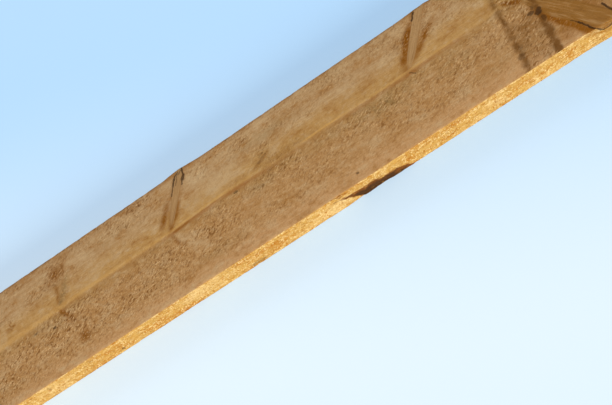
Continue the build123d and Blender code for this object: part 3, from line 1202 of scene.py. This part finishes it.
def fleck_layers(made, colour):
    """Smudges, resin and pale wood, the painted shade of the hollows of torn grain, and its lifted fibres.
    """
    colour = made.tint(colour, made.smudge * made.patch.ease(0.25, 0.7), "grey_smudge")
    soaked = (made.resin * (0.7 + 0.6 * made.patch)).ease(0.09, 1.35)
    colour = made.tint(colour, soaked, "resin")
    colour = made.tint(colour, made.pale * made.patch.ease(0.2, 0.6) * 0.7, "cloud_pale")
    leaning = made.y - made.x * 0.45
    wool = made.noise(made.x / 3.8, leaning / 2.3, made.z / 3.6, 2.0, 0.55)
    tuft = made.noise(made.x / 7.0, leaning / 3.8, made.z / 5.0, 1.0)
    # Painted shade: darker where the torn grain is hollow.
    hollow_shade = (wool * 0.65 + tuft * 0.35).ease(0.51, 0.36)
    hair = made.noise(made.x / 4.6, leaning / 1.8, made.z / 3.6, 2.0, 0.6)
    wood = made.torn * (1 - 0.6 * made.narrow)
    colour = made.tint(colour, hollow_shade * (wood * 0.85 + 0.12), "fleck_shade", "MULTIPLY")
    colour = made.tint(colour, hair.ease(0.52, 0.72) * (wood * 0.6 + 0.10), "fleck_light")
    # Painted shade in the finer pits of the torn grain.
    fine_pit_shade = made.crumb.ease(0.44, 0.28) * (wood * 0.5 + 0.2)
    return made.tint(colour, fine_pit_shade, "fleck_shade", "MULTIPLY")


def pith_layers(made, colour):
    """The pith: a light line with painted shade under it, both coming and going, and the warmer long arris.
    """
    light, half_width, dark, _ = made.attribute("pith_look")
    flow = made.noise(made.x / 40, 0.0, 0.0, 2.0)
    above = made.out_y + (made.patch - 0.5) * 1.8
    light_line = abs(above / half_width - 0.8).ease(1.3, 0.1) * light * flow.ease(0.25, 0.55)
    # Painted shade: a dark band and a dark line just under the step at the pith.
    pith_shade_band = (above + 2.6).near(0.0, 4.2) * dark * flow.ease(0.8, 0.4)
    pith_shade_line = (above + 0.9).near(0.0, 1.3) * dark
    colour = made.tint(colour, light_line * made.heart * 0.8, "ridge")
    # The painted shade under the pith goes on in the late wood's colour.
    colour = made.tint(colour, (pith_shade_band * 0.75).greatest(pith_shade_line * 0.55) * made.heart, "late_wood")
    edge = made.y.ease(65, 73) * made.heart
    return made.tint(colour, edge * made.patch.ease(0.35, 0.6) * 0.45, "late_wood")


def branch_layers(made, colour):
    """The branches: a resinous flank, the knot's own wood, and the gap that dead bark leaves round it."""
    wobble = (made.noise_at(7, 7) - 0.5) * 0.45
    branch = made.branch_distance + wobble * 0.5
    beyond = made.branch_along / BRANCH_UNIT - made.dead_from
    dead = beyond.ease(-0.05, 0.06)
    foot_in = made.branch_along.ease(2, 20)
    flank = branch.near(1.4, 0.7) * made.branch_along.ease(8, 18) * beyond.ease(0.06, -0.1)
    colour = made.tint(colour, flank * made.resinous * 0.6, "resin")
    knot = made.tint(made.tone["knot_brown"], made.grey, "knot_grey")
    lines = made.noise(made.up_tree * 4.5, made.beside * 4.5, made.branch_along / 30, 2.0, 0.6)
    knot = made.tint(knot, lines.ease(0.5, 0.75) * 0.5, "fleck_shade", "MULTIPLY")
    knot = made.tint(knot, lines.ease(0.5, 0.25) * 0.25, "fleck_light")
    knot = made.tint(knot, dead * 0.25, "fleck_shade", "MULTIPLY")
    body = branch.ease(1.10, 0.84) * made.plain
    colour = made.mix(body * foot_in * 0.94, colour, knot)
    rim = branch.near(1.02, 0.22) * (1 - dead) * made.plain * foot_in
    colour = made.tint(colour, rim * 0.3, "resin")
    broken = made.noise_at(8, 8).ease(0.42, 0.56) * (1 - 0.35 * made.back)
    old = dead * made.plain.ease(0.6, 0.9)
    ring_gap = branch.near(1.04, 0.13) * broken * old
    split = abs(made.beside + wobble * 1.6).ease(0.07, 0.02) * branch.ease(0.7, 0.25) * old
    return colour, body, ring_gap.greatest(split * (1 - made.heart) * 0.4)


def dark_marks(made):
    """The cracks and specks: strokes and spots with ragged edges, each on its own face."""
    ragged_x = made.x + (made.noise_at(5, 5) - 0.5) * 3.0
    ragged = (made.noise_at(4, 4, 1.0) - 0.5) * 3.0
    faces = {
        "heart": (made.y + ragged, made.heart),
        "bearing": (made.z + ragged, made.narrow * made.y.ease(0, -5)),
    }
    marks = []
    for face, (across, weight) in faces.items():
        for *ends, half_width, strength in CRACKS[face]:
            mark = made.stroke(ragged_x, across, ends[:2], ends[2:], half_width)
            marks.append(mark * weight * strength)
        for middle_x, middle_across, half_along, half_across, strength in SPECKS[face]:
            mark = made.speck(ragged_x - middle_x, across - middle_across, half_along, half_across)
            marks.append(mark * weight * strength)
    return reduce(Value.greatest, marks) * (0.65 + 0.5 * made.patch).least(1.0)


def bark_layers(made, colour):
    """The bark: streaky where it thins out, darkest where it is thick, with golden flakes low down. Its dark
    tones are partly painted shade, and its golden lower part is partly painted sunlight.
    """
    streaky = made.noise(made.x / 13, made.z / 1.7, made.y / 1.7, 2.0, 0.6)
    crust = (made.bark + (streaky - 0.5) * 7).ease(-0.4, 0.8) * made.bark.ease(-2.5, 0)
    plates = made.noise(made.x / 9, made.bark * 0.8, made.z / 20, 3.0, 0.65)
    thick = (made.bark * 0.35 + plates * 3 - made.x.ease(95, 118) * 0.45).ease(1.3, 2.9)
    bark = made.tint(made.tone["inner_bark"], thick, "outer_bark")
    # Partly painted sunlight: the flakes turn golden towards the bottom edge.
    bark = made.tint(bark, plates.ease(0.52, 0.72) * made.z.ease(12, 2) * 0.8, "bark_gold")
    bark = made.tint(bark, made.crumb.ease(0.5, 0.3) * 0.6, "fleck_shade", "MULTIPLY")
    return made.mix(crust, colour, bark), crust, crust * (plates - 0.5)


def timber_material(settings):
    """The whole timber: each layer is mixed over the one before by its own mask."""
    made = TimberRecipe(settings)
    colour = stroke_layers(made, grain_layers(made, face_layers(made)))
    colour = pith_layers(made, fleck_layers(made, colour))
    colour, body, gaps = branch_layers(made, colour)
    stain = (made.lath * (0.1 + 1.3 * made.patch + 0.5 * made.crumb)).ease(0.09, 1.08)
    colour = made.tint(colour, stain * 0.92, "stain")
    gaps = gaps.greatest(dark_marks(made))
    colour = made.tint(colour, gaps * 0.92, "crack")
    colour, crust, scales = bark_layers(made, colour)

    slant = made.x + made.y * SAW_SLANT_Y + made.z * SAW_SLANT_Z
    saw = made.noise(slant / 2.6, made.y / 60, made.z / 60, 1.0)
    fuzz = made.noise_at(3.4, 2.2, 3.0, 0.6)
    height = (fuzz - 0.5) * (0.2 + made.torn * 0.7) + (saw - 0.5) * 0.2 + made.crumb * 0.12
    height = height + body * 0.1 - gaps * 0.8 + scales * 1.6
    finish = {
        "Base Color": colour,
        "Roughness": 0.84 - body * 0.12 + crust * 0.1,
        "Normal": made.node("ShaderNodeBump", None, {"Strength": 1.0, "Distance": MM, "Height": height}),
        "Specular IOR Level": 0.18,
    }
    return made.finished(made.node("ShaderNodeBsdfPrincipled", None, finish))


def floor_material(studio):
    """A plain pale floor, deeper in colour on one side of the rafter and even farther off: what the camera
    and reflections see of it. Part of its colour shows by itself and the rest takes light and shadow. The
    light that it throws is neutral."""
    made = Recipe("pale_floor")
    x, y, _ = made.split(made.node("ShaderNodeTexCoord", None, None, 3))
    away = (x * FLOOR_SLANT + y).ease(*FLOOR_CHANGE)
    beyond = ((x**2.0 + y**2.0) ** 0.5).ease(*FLOOR_EVEN)
    share = away + (away * -1.0 + 0.5) * beyond
    seen = made.mix(share, tuple(studio.floor_pale), tuple(studio.floor_deep))
    rays = [made.node("ShaderNodeLightPath", None, None, name) for name in FLOOR_RAYS]
    direct = reduce(Value.greatest, rays)
    matt = made.mix(1.0, seen, tuple(studio.floor_matt), "MULTIPLY")
    finish = {
        "Base Color": made.mix(direct, tuple(studio.floor_bounce), matt),
        "Roughness": 0.9,
        "Specular IOR Level": 0.0,
        "Emission Color": made.mix(direct, (0.0, 0.0, 0.0), seen),
        "Emission Strength": studio.floor_glow,
    }
    return made.finished(made.node("ShaderNodeBsdfPrincipled", None, finish))


def add_object(name, data):
    """A new object of the scene that holds the data."""
    piece = bpy.data.objects.new(name, data)
    bpy.context.scene.collection.objects.link(piece)
    return piece


def aimed(place, line, up):
    """The matrix of something at a place that looks along a line, with its top towards up."""
    back = -line.normalized()
    right = up.cross(back).normalized()
    top = back.cross(right)
    turn = Matrix((right, top, back)).transposed()
    return Matrix.Translation(place) @ turn.to_4x4()


def lay_floor(studio):
    """The floor: one level square under the rafter."""
    half = FLOOR_HALF_SIDE
    points = np.array([(-half, -half, 0), (half, -half, 0), (half, half, 0), (-half, half, 0)]) / MM
    mesh = make_mesh("floor", points, np.array([[0, 1, 2, 3]]), np.empty((0, 3), int))
    mesh.materials.append(floor_material(studio))
    add_object("floor", mesh)


def hang_lights(studio):
    """The two lamps, and the even light from all round."""
    white = (1, 1, 1)
    for name, line, strength, colour in (
        ("key", KEY_LINE, studio.key, studio.key_colour),
        ("fill", FILL_LINE, studio.fill, white),
    ):
        lamp = bpy.data.lights.new(name, "SUN")
        lamp.energy = strength
        lamp.color = colour
        lamp.angle = studio.softness
        add_object(name, lamp).matrix_world = aimed(-line, line, Vector((0, 0, 1)))

    world = bpy.data.worlds.new("studio")
    world.use_nodes = True
    background = world.node_tree.nodes["Background"]
    background.inputs["Color"].default_value = (*white, 1)
    background.inputs["Strength"].default_value = studio.sky
    bpy.context.scene.world = world
    bpy.context.scene.view_settings.view_transform = "Standard"


def set_up_camera(studio):
    """The camera, at its place."""
    data = bpy.data.cameras.new("camera")
    data.lens = studio.lens
    data.clip_end = CAMERA_REACH
    camera = add_object("camera", data)
    camera.matrix_world = aimed(CAMERA_PLACE, CAMERA_LINE, CAMERA_UP)
    bpy.context.scene.camera = camera


class RAFTER_OT_skin(bpy.types.Operator):
    """Build the rafter's skin and dress it as sawn softwood"""

    bl_idname = "rafter.skin"
    bl_label = "Rafter skin"

    def execute(self, context):
        settings = context.scene.rafter
        mesh = skin_surface(settings.shape, settings.relief)
        mesh.materials.append(timber_material(settings))
        skin = add_object("rafter_skin", mesh)
        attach(skin, "root")
        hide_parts("rafter")
        return {"FINISHED"}


class RAFTER_OT_studio(bpy.types.Operator):
    """Lay the floor, hang the lights and set up the camera"""

    bl_idname = "rafter.studio"
    bl_label = "Studio"

    def execute(self, context):
        studio = context.scene.rafter.studio
        lay_floor(studio)
        hang_lights(studio)
        set_up_camera(studio)
        return {"FINISHED"}


class RAFTER_PT_panel(bpy.types.Panel):
    """The rafter's pieces and settings"""

    bl_label = "Rafter"
    bl_idname = "RAFTER_PT_panel"
    bl_space_type = "VIEW_3D"
    bl_region_type = "UI"
    bl_category = "Rafter"

    def draw(self, context):
        layout = self.layout
        layout.operator(RAFTER_OT_skin.bl_idname)
        layout.operator(RAFTER_OT_studio.bl_idname)
        settings = context.scene.rafter
        for group in (settings.shape, settings.relief, settings.colours, settings.studio):
            box = layout.box()
            for name in group.__annotations__:
                box.prop(group, name)


CLASSES = (
    RafterShape,
    RafterRelief,
    TimberColours,
    Studio,
    RafterSettings,
    RAFTER_OT_skin,
    RAFTER_OT_studio,
    RAFTER_PT_panel,
)


def register():
    for cls in CLASSES:
        bpy.utils.register_class(cls)
    bpy.types.Scene.rafter = PointerProperty(type=RafterSettings)


def unregister():
    del bpy.types.Scene.rafter
    for cls in reversed(CLASSES):
        bpy.utils.unregister_class(cls)


def main():
    """Registers the classes and builds the pieces in order."""
    register()
    bpy.ops.rafter.skin()
    bpy.ops.rafter.studio()


if __name__ == "__main__":
    main()
